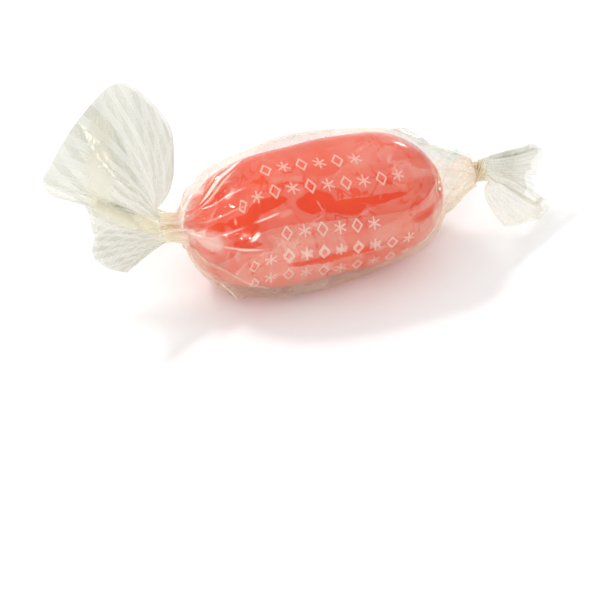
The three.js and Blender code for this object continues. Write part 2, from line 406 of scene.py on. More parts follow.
def ripples(seed, count, shortest, longest):
    """A smooth random field over two lengths, about -1 to 1."""
    rng = np.random.default_rng(seed)
    length = rng.uniform(shortest, longest, count)
    heading = rng.uniform(0, math.pi, count)
    phase = rng.uniform(0, TURN, count)

    def field(u, c):
        total = 0
        for n in range(count):
            along = u * math.cos(heading[n]) + c * math.sin(heading[n])
            total = total + np.sin(TURN * along / length[n] + phase[n])
        return total / math.sqrt(count)

    return field


sag = ripples(3, 6, 7, 16)
crumple_warp = ripples(4, 5, 6, 14)


def crumple(u, c):
    """Sharp, shallow folds in several directions, as crisp film has where nothing pulls it flat."""
    warp = crumple_warp(u, c)
    total = 0
    for heading, length, share in CRUMPLE_ROWS:
        along = u * math.cos(heading) + c * math.sin(heading)
        total = total + share * crest(TURN * along / length + CRUMPLE_BEND * warp)
    return total / sum(share for _, _, share in CRUMPLE_ROWS)


def across_fan(lines, column, t):
    """One column of the pleat lines, read smoothly at t from 0 to 1."""
    values = lines[:, column]
    place = np.clip(t, 0, 1) * (len(values) - 1)
    i = np.minimum(place.astype(int), len(values) - 2)
    w = place - i

    def at(j):
        return values[np.clip(j, 0, len(values) - 1)]

    p, q, r, s = at(i - 1), at(i), at(i + 1), at(i + 2)
    return q + (w / 2) * (r - p + w * (2 * p - 5 * q + 4 * r - s + w * (3 * (q - r) + s - p)))


# ---- The film, ring by ring ----


def film_ring(points, gathered, off_sweet, past_crease=CREASE_REACH, crease_white_and_highlight=0):
    """A ring of film, with values for each of its points.

    They are how gathered the film is, from 0 to 1, how far off the sweet, and for each set of creases the
    distance past the nearest crest, with its sign, and how white that crest is, partly as a painted
    highlight.
    """
    count = len(points)
    return {
        "points": points,
        "gathered": np.broadcast_to(gathered, count),
        "off_sweet": np.broadcast_to(off_sweet, count),
        "past_crease": np.broadcast_to(past_crease, (count, CREASE_SETS)),
        "crease_white_and_highlight": np.broadcast_to(crease_white_and_highlight, (count, CREASE_SETS)),
    }


def layer_offset(w):
    return LAYER_STEP * (w - FIRST_TURN)


def end_near(x):
    return LEFT_END if x < 0 else RIGHT_END


def sweet_share(x):
    """How wide the sweet is at x, as a share of its middle."""
    return math.sqrt(max(0, 1 - abs(2 * x / SWEET_LENGTH) ** end_near(x).rounding))


def join(sweet, narrowed):
    return smooth_max(sweet, narrowed, JOIN_ROUNDING) - JOIN_EXCESS


def close_film(x):
    """The top, bottom and half width of the film at x, where it lies close or narrows to the nearer twist."""
    end = end_near(x)
    from_twist = min(abs(end.twist_start[0] - x), end.cone_length)
    cone = end.radius + end.widening * from_twist
    cone_z = lerp(end.twist_start[2], SWEET_CENTRE_Z, from_twist / end.cone_length)
    half_sweet = SWEET_HEIGHT / 2 * sweet_share(x) + FILM_GAP
    half_sweet_width = SWEET_WIDTH / 2 * sweet_share(x) + FILM_GAP
    top = join(SWEET_CENTRE_Z + half_sweet, cone_z + cone)
    bottom = -join(half_sweet - SWEET_CENTRE_Z, cone - cone_z)
    return top, bottom, join(half_sweet_width, cone)


def spot(x, degrees, spot_x, spot_angle, along, around):
    """A round spot on the body, from 1 at its middle to 0 well outside it."""
    return bell(x - spot_x, along) * bell(signed_angle(degrees, spot_angle), around)


def creases(x, degrees):
    """How far creases lift the film at x, at these angles, and the crests near it, as film_ring has them."""
    lift = np.zeros_like(degrees)
    past = np.full((len(degrees), CREASE_SETS), CREASE_REACH)
    white = np.zeros((len(degrees), CREASE_SETS))
    mm_per_degree = FILM_ROUND / 360 * max(sweet_share(x), LEAST_GIRTH)
    for n, (x0, angle0, x1, angle1, height, half_width, whiteness_and_highlight) in enumerate(CREASES):
        along, around = x1 - x0, (angle1 - angle0) * mm_per_degree
        length = math.hypot(along, around)
        from_start = signed_angle(degrees, angle0) * mm_per_degree
        share = ((x - x0) * along + from_start * around) / length**2
        signed = (from_start * along - (x - x0) * around) / length
        to_tip = np.minimum(1 + CREASE_RUN_ON - share, share + CREASE_RUN_ON)
        fade = np.clip(to_tip / CREASE_TAPER, 0, 1)
        lift = np.maximum(lift, height * fade * np.clip(1 - np.abs(signed) / half_width, 0, 1))
        own_set = n % CREASE_SETS
        nearest = (np.abs(signed) < np.abs(past[:, own_set])) & (fade > 0)
        past[nearest, own_set] = signed[nearest]
        white[nearest, own_set] = whiteness_and_highlight * fade[nearest]
    return lift, past, white


def milkiness(x, degrees):
    """How milky the film is at x, at these angles: all round near a twist, and in places."""
    near_twist = smoothstep(abs(x), CONE_BEGINS, abs(end_near(x).twist_start[0]))
    milky = np.full_like(degrees, near_twist * CONE_GATHERED)
    for spot_x, spot_angle, along, around, amount in MILKY:
        reach = np.hypot((x - spot_x) / along, signed_angle(degrees, spot_angle) / around)
        milky = np.maximum(milky, amount * (1 - smoothstep(reach, *MILKY_FADES)))
    return milky


def body_ring(x, w):
    """The ring of film at x, at turns w round the sweet."""
    end = end_near(x)
    near = smoothstep(abs(x), SMOOTH_MIDDLE, abs(end.twist_start[0]))
    angle = TURN * (w + end.early_turn * end.turns * near**4) + math.radians(SLANT) * x * (1 - near)
    degrees = np.degrees(angle)
    around = np.mod(angle / TURN, 1) * FILM_ROUND

    fading = min(1, (abs(end.twist_start[0]) - abs(x)) / CREASE_FADE + CREASE_LEFT)
    crease_lift, past, white = creases(x, degrees)
    lift = (CREASE_HEIGHT * near * (1 + gathers(w)) / 2 + crease_lift) * fading
    lift = lift + FINE_GATHER * near**2 * gathers(w + FINE_GATHER_SWAY * math.sin(x), FINE_GATHER_ROWS)
    lift = lift + sum(height * spot(x, degrees, *place) for *place, height in POCKETS)
    lift = lift + np.maximum(SLACK + SLACK_VARIES * sag(x, around), 0)

    cling = np.minimum(sum(spot(x, degrees, *place) for place in CLINGS), 1)
    crumples = (CRUMPLE + CRUMPLE_NEAR_TWIST * near) * crumple(x, around)
    lift = lift * (1 - CLING_FLATTENS * cling) - CLING_DRAWS_IN * cling
    lift = lift + crumples * (1 - CLING_SMOOTHS * cling)

    edge_lift = EDGE_LIFT + EDGE_LIFT_VARIES * math.sin(EDGE_WAVE * x + EDGE_WAVE_PHASE)
    edge = edge_lift * smoothstep(w, LAST_TURN - EDGE_STRIP, LAST_TURN)
    out = lift + layer_offset(w) - LAYERS_INSET + edge
    top, bottom, half_width = close_film(x)
    y = -(half_width + out) * np.sin(angle)
    z = (top + bottom) / 2 - ((top - bottom) / 2 + out) * np.cos(angle)
    points = np.stack([np.full_like(w, x), y, z], axis=1)
    return film_ring(points, milkiness(x, degrees), lift + LOOSE_OFF_SWEET * (1 - cling), past, white)


def twist_ring(end, k, w):
    """The ring at share k of the way through a twist, turning as it goes."""
    down = lerp(np.array([0, 0, -1.0]), -end.up, k)
    forwards = lerp(np.array([0, -1.0, 0]), end.front, k)
    turned = TURN * (w + end.turns * lerp(end.early_turn, 1, k))
    depth = TWIST_GATHER * math.sin(math.pi * min(1, k + GATHER_LEAD))
    radius = end.radius * (1 + depth * gathers(w)) + FINE_TWIST_GATHER * gathers(w, FINE_GATHER_ROWS)
    radius = radius + LAYERS_IN_TWIST * layer_offset(w) - LAYERS_INSET
    fold = np.abs(np.cos(TWIST_FOLDS * math.pi * w + TWIST_FOLD_PHASE)) ** TWIST_FOLD_SHARPNESS
    radius = radius * (1 - TWIST_FOLD_DEPTH * math.sqrt(math.sin(math.pi * k)) * fold)
    centre = lerp(end.twist_start, end.twist_end, k)
    points = centre + radius[:, None] * (np.cos(turned)[:, None] * down + np.sin(turned)[:, None] * forwards)
    return film_ring(points, 1, AWAY_FROM_SWEET)


def fan_middle(end, k, t):
    """The middle of a fan, for k from the twist to the cut edge and t from its lowest pleat line up."""
    angle, reach, lean, bend = (across_fan(end.pleat_lines, n, t) for n in range(4))

    def place(degrees, length, forward):
        a = np.radians(degrees)
        flat = (length * np.cos(a))[:, None] * end.out + (length * np.sin(a))[:, None] * end.up
        return end.twist_end + flat + forward[:, None] * end.front

    start = end.twist_end - (end.radius * np.cos(math.pi * t))[:, None] * end.up
    edge = place(angle, reach, lean)
    pull = 2 * place(angle + bend, reach / 2, lean * FAN_LEAN_HALFWAY) - (start + edge) / 2
    return (1 - k) ** 2 * start + 2 * k * (1 - k) * pull + k**2 * edge


def unit(vectors):
    return vectors / np.linalg.norm(vectors, axis=1)[:, None]


def fan_normal(end, k, t):
    """The direction straight out of a fan's face. It starts from the twist as the fan's own front."""
    step = 0.01
    along = fan_middle(end, min(k + step, 1), t) - fan_middle(end, k - step, t)
    across = fan_middle(end, k, np.minimum(t + step, 1)) - fan_middle(end, k, np.maximum(t - step, 0))
    normal = unit(np.cross(along, across))
    normal[normal @ end.front < 0] *= -1
    return unit(lerp(end.front, normal, smoothstep(k, 0, FAN_FACES_FRONT)))


def share_across_fan(v):
    """From 0 at a fan's lowest pleat line up to 1 in its front layer, and down again in its back layer."""
    return np.where(v <= 0.5, 2 * v, 2 - 2 * v)


def fan_ring(end, k, w):
    """The ring at share k of the way from a twist to the fan's cut edge."""
    v = np.mod(w + end.turns, 1)
    t = share_across_fan(v)
    side = np.where(v <= 0.5, 1.0, -1.0)
    apart = np.sin(math.pi * t)
    opening = lerp(end.radius * apart, FAN_GAP / 2 * np.sqrt(apart), min(1, k / FAN_CLOSING))
    opening = opening + layer_offset(w) * min(1, LAYERS_IN_TWIST + k)
    pleat = FAN_PLEAT * math.sqrt(k) * crest(FAN_PLEATS * TURN * t + FAN_PLEAT_PHASE)
    sway = FINE_PLEAT_SWAY * math.sin(FINE_PLEAT_SWAYS * k)
    fine_pleat = crest(FINE_PLEATS * TURN * t + FINE_PLEAT_PHASE * side + sway)
    pleat = pleat + FINE_PLEAT * (1 - FINE_PLEAT_LOST * k) * fine_pleat
    along_line = k * across_fan(end.pleat_lines, 1, t)
    crumples = FAN_CRUMPLE * crumple(along_line, v * FILM_ROUND) * k
    offset = side * opening + pleat * np.minimum(1, apart / FAN_EDGE) + crumples
    points = fan_middle(end, k, t) + offset[:, None] * fan_normal(end, k, t)
    return film_ring(points, FAN_GATHERED + (1 - FAN_GATHERED) * (1 - k) ** 3, AWAY_FROM_SWEET)


def film_rings(w):
    """All rings of the film, from the left cut edge to the right one."""

    def end_rings(end):
        twist = [twist_ring(end, i / (end.twist_rings - 1), w) for i in range(end.twist_rings)]
        return twist + [fan_ring(end, (i + 1) / end.fan_rings, w) for i in range(end.fan_rings)]

    body = []
    for i in range(BODY_RINGS):
        share = (i + 0.5) / BODY_RINGS
        eased = (share + (1 - math.cos(math.pi * share)) / 2) / 2
        body.append(body_ring(lerp(LEFT_END.twist_start[0], RIGHT_END.twist_start[0], eased), w))
    return end_rings(LEFT_END)[::-1] + body + end_rings(RIGHT_END)


# ---- Meshes ----


def grid_mesh(name, points, closed=False):
    """A mesh of quads over points[row, column], in millimetres. A closed one joins its rows up into rings."""
    rows, columns = points.shape[:2]
    r, c = np.meshgrid(np.arange(rows - 1), np.arange(columns if closed else columns - 1), indexing="ij")
    right = (c + 1) % columns
    corners = [r * columns + c, (r + 1) * columns + c, (r + 1) * columns + right, r * columns + right]
    faces = np.stack(corners, -1).reshape(-1, 4)
    mesh = bpy.data.meshes.new(name)
    mesh.from_pydata(points.reshape(-1, 3) * MM, [], faces.tolist())
    mesh.polygons.foreach_set("use_smooth", np.ones(len(faces), bool))
    return mesh, faces


def add_object(name, data):
    new_object = bpy.data.objects.new(name, data)
    bpy.context.scene.collection.objects.link(new_object)
    return new_object


def add_numbers(mesh, name, values):
    attribute = mesh.attributes.new(name, "FLOAT", "POINT")
    attribute.data.foreach_set("value", values.astype(np.float32).ravel())


def add_vectors(mesh, name, values):
    attribute = mesh.attributes.new(name, "FLOAT_VECTOR", "POINT")
    attribute.data.foreach_set("vector", values.astype(np.float32).ravel())


def fold_share(end, points):
    """How milky the doubled film of a fan makes it at points."""
    across, up = (points - end.twist_end) @ end.out, (points - end.twist_end) @ end.up
    total = np.zeros_like(across)
    for across0, up0, across1, up1, half_width, strength in end.folds:
        run, rise = across1 - across0, up1 - up0
        share = np.clip(((across - across0) * run + (up - up0) * rise) / (run**2 + rise**2), 0, 1)
        distance = np.hypot(across - across0 - run * share, up - up0 - rise * share)
        total = np.maximum(total, strength * (1 - smoothstep(distance / half_width, *FOLD_FADES)))
    return total


def tint_share(end, points, w):
    """How tinted the film of a fan is, at turns w of each of its rings of points."""
    places, shares = zip(*end.tint)
    across = np.interp(share_across_fan(np.mod(w + end.turns, 1)), places, shares)
    from_twist = np.linalg.norm(points.mean(axis=1) - end.twist_end, axis=1)
    grown = lerp(TINT_AT_TWIST, 1, smoothstep(from_twist, *TINT_GROWS))
    return np.outer(grown * (1 - end.paling * smoothstep(from_twist, *TINT_PALES)), across)


def add_film_place(mesh, faces, points, w):
    """The place on the flat film, as UV: u along it from the middle of the sweet, and c round it."""
    steps = np.linalg.norm(np.diff(points, axis=0), axis=2).mean(axis=1)
    u = np.concatenate([[0], np.cumsum(steps)])
    u -= u[np.argmin(np.abs(points[:, :, 0].mean(axis=1)))]
    columns = np.broadcast_arrays(u[:, None] / UV_MM + UV_MIDDLE, (w * FILM_ROUND / UV_MM)[None, :])
    uv = np.stack(columns, -1).reshape(-1, 2)
    layer = mesh.uv_layers.new(name=FILM_PLACE)
    layer.data.foreach_set("uv", uv[faces.ravel()].astype(np.float32).ravel())


def make_film():
    w = np.linspace(FIRST_TURN, LAST_TURN, POINTS_ROUND)
    rings = film_rings(w)
    values = {name: np.array([ring[name] for ring in rings]) for name in rings[0]}
    points = values["points"]
    points[..., 2] = np.maximum(points[..., 2], TABLE_GAP + LAYERS_PRESSED * layer_offset(w))
    folded, tinted = np.zeros((2, len(rings), POINTS_ROUND))
    fan_rows = {LEFT_END: slice(0, LEFT_END.fan_rings), RIGHT_END: slice(-RIGHT_END.fan_rings, None)}
    for end, rows in fan_rows.items():
        folded[rows] = fold_share(end, points[rows])
        tinted[rows] = tint_share(end, points[rows], w)

    mesh, faces = grid_mesh("wrapper_film", points)
    add_numbers(mesh, "gathered", values["gathered"])
    add_numbers(mesh, "off_sweet", values["off_sweet"])
    add_numbers(mesh, "folded", folded)
    add_numbers(mesh, "tinted", tinted)
    add_vectors(mesh, "past_crease", values["past_crease"])
    add_vectors(mesh, "crease_white_and_highlight", values["crease_white_and_highlight"])
    add_film_place(mesh, faces, points, w)
    return add_object("wrapper_film", mesh)


# ---- The boiled sweet ----

SWEET_RINGS = 120
SWEET_POINTS_ROUND = 160
LUMP_HEIGHT = 0.1
LUMPS_INSET = 0.1  # so that no lump stands out through the film
SWEET_LOWEST = 0.2  # where the sweet's underside is flattened
SWEET_LOWEST_ROUNDING = 0.1
sweet_lumps = ripples(11, 7, 6, 15)


def make_sweet():
    s = (np.arange(SWEET_RINGS) + 0.5) / SWEET_RINGS
    angle = np.arange(SWEET_POINTS_ROUND) / SWEET_POINTS_ROUND * TURN
    points = np.zeros((SWEET_RINGS, SWEET_POINTS_ROUND, 3))
    for i, x in enumerate(-np.cos(math.pi * s) * SWEET_LENGTH / 2):
        share = sweet_share(x)
        lump = LUMP_HEIGHT * sweet_lumps(x, angle / TURN * FILM_ROUND) - LUMPS_INSET
        points[i, :, 0] = x
        points[i, :, 1] = -(SWEET_WIDTH / 2 + lump) * share * np.sin(angle)
        points[i, :, 2] = SWEET_CENTRE_Z - (SWEET_HEIGHT / 2 + lump) * share * np.cos(angle)
    points[..., 2] = smooth_max(points[..., 2], SWEET_LOWEST, SWEET_LOWEST_ROUNDING)
    mesh, _ = grid_mesh("boiled_sweet", points, closed=True)
    close_ends(mesh)
    return add_object("boiled_sweet", mesh)


def close_ends(mesh):
    bm = bmesh.new()
    bm.from_mesh(mesh)
    bm.verts.ensure_lookup_table()
    for first in (0, (SWEET_RINGS - 1) * SWEET_POINTS_ROUND):
        ring = [bm.verts[first + i] for i in range(SWEET_POINTS_ROUND)]
        bm.faces.new(ring if first else ring[::-1]).smooth = True
    bmesh.ops.recalc_face_normals(bm, faces=bm.faces)
    bm.to_mesh(mesh)
    bm.free()


# ---- Shader nodes ----


class Nodes:
    """Short ways to add shader nodes to a new material, from numbers, colours and other nodes' outputs."""

    def __init__(self, name):
        self.material = bpy.data.materials.new(name)
        self.material.use_nodes = True
        self.tree = self.material.node_tree
        self.tree.nodes.clear()

    def add(self, kind, **inputs):
        node = self.tree.nodes.new(kind)
        for name, value in inputs.items():
            self.set(node, name.replace("_", " "), value)
        return node

    def set(self, node, name, value):
        socket = node.inputs[name]
        if isinstance(value, bpy.types.NodeSocket):
            self.tree.links.new(value, socket)
        else:
            socket.default_value = value

    def math(self, operation, a, b=None, clamp=False):
        node = self.tree.nodes.new("ShaderNodeMath")
        node.operation = operation
        node.use_clamp = clamp
        self.set(node, 0, a)
        if b is not None:
            self.set(node, 1, b)
        return node.outputs[0]

    def plus(self, a, b):
        return self.math("ADD", a, b)

    def minus(self, a, b):
        return self.math("SUBTRACT", a, b)

    def times(self, a, b):
        return self.math("MULTIPLY", a, b)

    def most(self, a, b):
        return self.math("MAXIMUM", a, b)

    def size(self, a):
        return self.math("ABSOLUTE", a)

    def without(self, share, strength=1.0):
        """1 where share is 0, and less by strength where it is 1."""
        return self.minus(1.0, self.times(share, strength))

    def step(self, value, low, high):
        """From 0 at low to 1 at high, smoothly; low may be above high."""
        node = self.tree.nodes.new("ShaderNodeMapRange")
        node.interpolation_type = "SMOOTHSTEP"
        falls = low > high
        self.set(node, "Value", value)
        self.set(node, "From Min", min(low, high))
        self.set(node, "From Max", max(low, high))
        self.set(node, "To Min", 1.0 if falls else 0.0)
        self.set(node, "To Max", 0.0 if falls else 1.0)
        return node.outputs[0]

    def colour_mix(self, factor, a, b):
        node = self.tree.nodes.new("ShaderNodeMix")
        node.data_type = "RGBA"
        colour_sockets = (6, 7)
        self.set(node, 0, factor)
        for socket, colour in zip(colour_sockets, (a, b)):
            self.set(node, socket, colour)
        return node.outputs[2]

    def shader_mix(self, factor, a, b):
        node = self.tree.nodes.new("ShaderNodeMixShader")
        for socket, value in enumerate((factor, a, b)):
            self.set(node, socket, value)
        return node.outputs[0]

    def noise(self, place, scale, detail=2.0, roughness=0.5, distortion=0.0):
        node = self.add("ShaderNodeTexNoise", Vector=place, Scale=scale, Detail=detail)
        self.set(node, "Roughness", roughness)
        self.set(node, "Distortion", distortion)
        return node.outputs["Fac"]

    def stretch(self, place, scale):
        node = self.add("ShaderNodeMapping", Vector=place)
        node.inputs["Scale"].default_value = scale
        return node.outputs[0]

    def attribute(self, name, output="Fac"):
        node = self.tree.nodes.new("ShaderNodeAttribute")
        node.attribute_name = name
        return node.outputs[output]

    def finish(self, shader):
        self.add("ShaderNodeOutputMaterial", Surface=shader)
        return self.material


# ---- The film's print ----

# White stripes past both ends of the sweet
STRIPE_PITCH = FILM_ROUND / 40  # a whole number of stripes for each turn
STRIPES_MIDDLE = -1.5  # along the film, half-way between the two striped parts
STRIPES_BEGIN = (22.5, 26.0)  # how far from that middle they fade in
STRIPE_SLANT = 0.22  # round the film, for each mm along it
STRIPE_SOFTNESS = 0.35
PALER_RIGHT = 0.6  # share of their strength that they lack in the small fan

# Blocks of two rows of small lozenges and stars, a shorter row above a longer one
BLOCK_PITCH = 11.6  # round the film
BLOCK_PLACE = 24.5  # of the middle of one block, round the film from underneath
ROW_OFFSET = 1.6  # of each row from its block's middle
ROWS_PART = 0.01  # half the strip between a block's two rows
ROWS_MIDDLE = -1.0  # along the film
CELL = 2.2  # of a row, for one lozenge or star
HALF_LONG_ROW = 5 * CELL
HALF_SHORT_ROW = 3 * CELL
HALF_CELL_HEIGHT = 1.0
LOZENGE = (0.62, 0.85)  # half its width and height
LOZENGE_LINE = (0.28, 0.16)  # where its line fades, as shares of its size
STAR_LINE = (0.14, 0.08)  # where its lines fade, to either side of their middle
STAR_RADIUS = (0.88, 0.8)  # where its lines end
STAR_ARM = math.radians(30)  # slope of the two lines that aren't upright


def stripes(n, u, c):
    beyond = n.size(n.minus(u, STRIPES_MIDDLE))
    slanted = n.plus(c, n.times(beyond, STRIPE_SLANT))
    wave = n.math("SINE", n.times(slanted, TURN / STRIPE_PITCH))
    stripe = n.times(n.step(wave, -STRIPE_SOFTNESS, STRIPE_SOFTNESS), n.step(beyond, *STRIPES_BEGIN))
    return n.times(stripe, n.without(n.math("GREATER_THAN", u, 0.0), PALER_RIGHT))


def lozenge(n, across, height):
    size = n.plus(n.math("DIVIDE", across, LOZENGE[0]), n.math("DIVIDE", height, LOZENGE[1]))
    return n.step(n.size(n.minus(size, 1.0)), *LOZENGE_LINE)


def star(n, across, height):
    """Three lines through the middle, one upright and two that slope."""
    sloping = n.size(n.minus(n.times(across, math.sin(STAR_ARM)), n.times(height, math.cos(STAR_ARM))))
    line = n.step(n.math("MINIMUM", across, sloping), *STAR_LINE)
    radius = n.math("SQRT", n.plus(n.math("POWER", across, 2.0), n.math("POWER", height, 2.0)))
    return n.times(line, n.step(radius, *STAR_RADIUS))


def print_rows(n, u, c):
    shifted = n.plus(c, BLOCK_PITCH / 2 - BLOCK_PLACE)
    in_block = n.minus(n.math("FLOORED_MODULO", shifted, BLOCK_PITCH), BLOCK_PITCH / 2)
    upper = n.step(in_block, -ROWS_PART, ROWS_PART)
    along = n.minus(u, ROWS_MIDDLE)
    half_row = n.minus(HALF_LONG_ROW, n.times(upper, HALF_LONG_ROW - HALF_SHORT_ROW))
    in_row = n.math("LESS_THAN", n.size(along), half_row)
    is_star = n.math("LESS_THAN", n.math("FLOORED_MODULO", along, 2 * CELL), CELL)
    across = n.size(n.minus(n.math("FLOORED_MODULO", along, CELL), CELL / 2))
    height = n.size(n.minus(n.size(in_block), ROW_OFFSET))
    stars = n.times(star(n, across, height), is_star)
    lozenges = n.times(lozenge(n, across, height), n.without(is_star))
    motif = n.times(n.plus(stars, lozenges), in_row)
    return n.times(motif, n.math("LESS_THAN", height, HALF_CELL_HEIGHT))


# ---- The film's material ----

# What the film lets through where it is clear, and what it scatters where it is hazy or printed
CLEAR_SMOOTH = (0.985, 0.985, 0.98, 1)
CLEAR_GATHERED = (0.98, 0.965, 0.92, 1)
# Film off the sweet is drawn greyer and cyan: its grey is the film's own, and its cyan is painted light that
# cancels the red which the sweet throws on it.
CLEAR_OFF_SWEET_PAINTED_CYAN = (0.88, 0.945, 0.94, 1)
CLEAR_FAN = (0.86, 0.86, 0.82, 1)
WHITE_SMOOTH = (0.975, 0.91, 0.78, 1)
WHITE_GATHERED = (0.99, 0.955, 0.86, 1)
WHITE_OFF_SWEET_PAINTED_CYAN = (0.84, 0.95, 0.94, 1)
WHITE_FAN = (0.8, 0.82, 0.8, 1)
WHITE_FOLDED = (0.9, 0.87, 0.74, 1)
GLOSS = (1, 0.95, 0.8, 1)

FAR_OFF_SWEET = (0.8, 1.6)  # heights over which the film's colours turn into those of film off the sweet
IN_FAN = (0.0, 0.3)  # tints over which film counts more and more as a fan's
FAN_WHITE_SHARE = 0.8
TRANSLUCENT_SHARE = 0.35  # of the scattered light, the part that comes through the film

# Opacity of the film's haze, and of what is on it
# The haze of crumpled film differs from one of its facets to the next: real haze, made uneven as a painted
# sheen, as if the facets reflected more or less light.
FACET_HAZE_AND_SHEEN = 0.13
RIDGE_HAZE = 0.2
MILKY_HAZE = 0.25
MILKY_FACET_HAZE_AND_SHEEN = 0.5
FOLD_HAZE = 0.4
INK_OPACITY = 0.56
INK_OPACITY_IN_FAN = 0.1  # what a fan's tint adds to it
INK_LOST_IN_FOLDS = 0.8
# The white line on a crease's crest is partly the whitening of creased film and partly a painted highlight.
CREST_AND_HIGHLIGHT_OPACITY = 0.8
CREST_AND_HIGHLIGHT_WIDTH = 0.22  # half the width of the whitest crest
CREST_AND_HIGHLIGHT_LINE = (0.06, -0.12)  # where its white line fades, from its side inwards

# Where the film touches the sweet, in patches, and thin lines drawn as clear as those patches: the film has
# to lie lower than these heights
PATCHES_BELOW = (0.52, 0.46)
PATCHES_UNEVEN = 0.5  # what an uneven pattern adds to the height there
THIN_LINES_BELOW = (0.85, 0.6)
THIN_LINE = (0.035, 0.018)  # where a line fades, from the side inwards
THIN_LINE_AREAS = (0.42, 0.55)
THIN_LINE_STRENGTH = 0.8

# Facets of crumpled film: how much their edges bend, how small they are along and round the film, and where
# their ridges fade, from the side inwards, and which areas have them
FACET_BEND = (0.07, 0.07, 0.0)
FACETS = (16.0, 30.0, 1.0)
RIDGE = (0.05, 0.015)
RIDGE_AREAS = (0.45, 0.7)

# The film's bumps, in metres, and its grain and strands
BUMP_DEPTH = 0.0003
BUMP_STRENGTH = 0.5
GRAIN = 0.35
STRANDS = (8.0, 60.0, 1.0)  # how small they are along and round the film
STRANDS_EVERYWHERE = 0.35
STRANDS_LOST_IN_FANS = 0.75

# Gloss of the film, seen straight on and at a grazing angle, and the shares that it loses
GLOSS_STRAIGHT_ON = 0.095
GLOSS_LOST_TOUCHING = 0.06
GLOSS_GRAZING = 0.8
GRAZING_POWER = 5.0
GLOSS_LOST_IN_FANS = 0.93


def crease_crests_and_highlights(n):
    """The white line along the crest of each crease, from 0 to 1: partly whitened film, partly a painted
    highlight.
    """
    past = n.add("ShaderNodeSeparateXYZ", Vector=n.attribute("past_crease", "Vector"))
    white = n.add("ShaderNodeSeparateXYZ", Vector=n.attribute("crease_white_and_highlight", "Vector"))
    crests = 0.0
    for k in range(CREASE_SETS):
        beside = n.minus(n.size(past.outputs[k]), n.times(white.outputs[k], CREST_AND_HIGHLIGHT_WIDTH))
        crests = n.most(crests, n.times(n.step(beside, *CREST_AND_HIGHLIGHT_LINE), white.outputs[k]))
    return crests


def touching_share(n, place, off_sweet):
    """Where the film touches the sweet, from 0 to 1, in patches, and along thin lines that are drawn as clear
    as those patches.
    """
    uneven = n.times(n.noise(place, scale=26.0, roughness=0.55, distortion=0.4), PATCHES_UNEVEN)
    patches = n.step(n.plus(off_sweet, uneven), *PATCHES_BELOW)
    from_contour = n.size(n.minus(n.noise(place, scale=38.0, detail=1.5, distortion=0.8), 0.5))
    thin_line_area = n.step(n.noise(place, scale=11.0, detail=1.0), *THIN_LINE_AREAS)
    thin_line_area = n.times(thin_line_area, n.step(off_sweet, *THIN_LINES_BELOW))
    thin_lines = n.times(n.step(from_contour, *THIN_LINE), thin_line_area)
    return n.most(patches, n.times(thin_lines, THIN_LINE_STRENGTH))


def film_facets(n, place):
    """Crumpled film: a level from 0 to 1 for each of the flat facets, and the thin ridges between them. These
    levels make the film's haze uneven, as a painted sheen.
    """
    bend = n.add("ShaderNodeTexNoise", Vector=place, Scale=14.0, Detail=2.0)
    bent = n.tree.nodes.new("ShaderNodeVectorMath")
    bent.operation = "MULTIPLY_ADD"
    for socket, value in enumerate((bend.outputs["Color"], FACET_BEND, place)):
        n.set(bent, socket, value)
    squeezed = n.stretch(bent.outputs[0], FACETS)
    cells = n.add("ShaderNodeTexVoronoi", Vector=squeezed, Scale=1.0)
    edges = n.add("ShaderNodeTexVoronoi", Vector=squeezed, Scale=1.0)
    edges.feature = "DISTANCE_TO_EDGE"
    level = n.add("ShaderNodeSeparateColor", Color=cells.outputs["Color"])
    strength = n.step(n.noise(place, scale=40.0), *RIDGE_AREAS)
    ridge = n.times(n.step(edges.outputs["Distance"], *RIDGE), strength)
    return level.outputs[0], ridge


def film_bump(n, place, gathered, in_fan):
    """Fine grain and, where the film is gathered, long strands."""
    grain = n.times(n.noise(place, scale=90.0, detail=3.0, roughness=0.6, distortion=0.6), GRAIN)
    long_place = n.stretch(place, STRANDS)
    strands = n.noise(long_place, scale=1.6, detail=3.0, roughness=0.6, distortion=0.3)
    strand_share = n.times(n.plus(gathered, STRANDS_EVERYWHERE), n.without(in_fan, STRANDS_LOST_IN_FANS))
    height = n.plus(grain, n.times(strands, strand_share))
    return n.add("ShaderNodeBump", Height=height, Strength=BUMP_STRENGTH, Distance=BUMP_DEPTH).outputs[0]


def film_opacity(n, ink, facets, touching, crests, gathered, folded, tinted):
    facet_haze_and_sheen, ridge = facets
    # Each of the facets adds real haze, made uneven from one to the next as a painted sheen.
    haze = n.plus(n.times(n.without(touching), n.times(facet_haze_and_sheen, FACET_HAZE_AND_SHEEN)), n.times(ridge, RIDGE_HAZE))
    milky = n.plus(MILKY_HAZE, n.times(facet_haze_and_sheen, MILKY_FACET_HAZE_AND_SHEEN))
    haze = n.plus(haze, n.times(n.math("POWER", gathered, 2.0), milky))
    haze = n.plus(haze, n.times(folded, FOLD_HAZE))
    ink_opacity = n.plus(INK_OPACITY, n.times(tinted, INK_OPACITY_IN_FAN))
    ink = n.times(n.times(ink, n.without(folded, INK_LOST_IN_FOLDS)), ink_opacity)
    # Crest lines are white partly as a painted highlight.
    return n.most(n.most(haze, ink), n.times(crests, CREST_AND_HIGHLIGHT_OPACITY))


